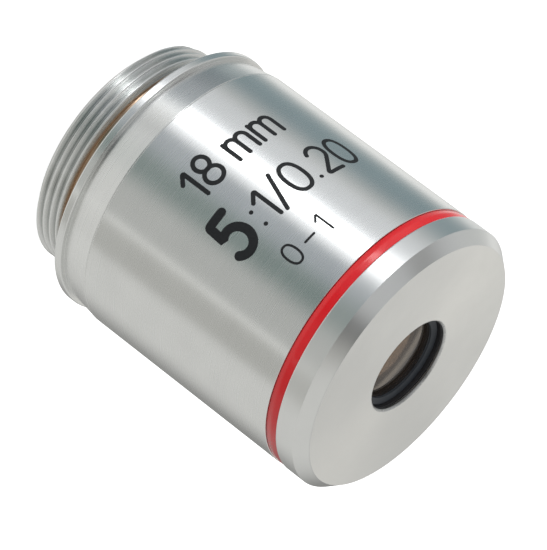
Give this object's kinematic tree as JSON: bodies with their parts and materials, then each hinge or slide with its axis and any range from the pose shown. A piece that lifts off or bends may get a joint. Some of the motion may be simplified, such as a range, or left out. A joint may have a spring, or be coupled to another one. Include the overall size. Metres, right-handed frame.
{
  "type": "microscope objective",
  "caption": "Low-power microscope objective: plated turned body with screw thread and shoulder, sleeve, red ring, bevelled front cap with lens aperture.",
  "frame": {"origin": "centre of the rear end face of the screw thread, on the optical axis; the part stands on that face", "axes": "+Z along the optical axis towards the front lens and the specimen; X and Y across it"},
  "size_m": [0.024, 0.024, 0.0314],
  "materials": {
    "plated_brass": "nickel and chrome plated brass, satin, bare brass in the undercut",
    "brushed_sleeve": "plated brass, fine brushed along the turning marks",
    "satin_cap": "plated brass, satin turned face and polished bevel",
    "red_lacquer": "glossy red lacquer",
    "black_anodised": "matt black anodised",
    "blackened_brass": "matt black oxide",
    "bare_brass": "bare brass",
    "coated_glass": "optical glass with a brown to purple antireflection coating",
    "lens_glass": "clear optical glass",
    "screw_steel": "dark steel"
  },
  "bodies": {
    "root": {"mount_body": "plated_brass", "outer_sleeve": "brushed_sleeve", "colour_ring": "red_lacquer", "front_cap": "satin_cap", "lens_barrel": "black_anodised", "parfocal_shim": "bare_brass", "barrel_lock_ring": "blackened_brass", "cell_lock_ring": "blackened_brass", "front_cell": "black_anodised", "front_lens": "coated_glass", "front_retaining_ring": "blackened_brass", "cell_shim": "bare_brass", "middle_cell": "black_anodised", "middle_doublet_flint": "lens_glass", "middle_doublet_crown": "coated_glass", "middle_retaining_ring": "blackened_brass", "aperture_stop": "black_anodised", "spacer_tube": "black_anodised", "rear_cell": "black_anodised", "rear_doublet_flint": "coated_glass", "rear_doublet_crown": "lens_glass", "rear_retaining_ring": "blackened_brass", "rear_baffle": "blackened_brass", "centring_screws": "screw_steel"}
  },
  "joints": []
}
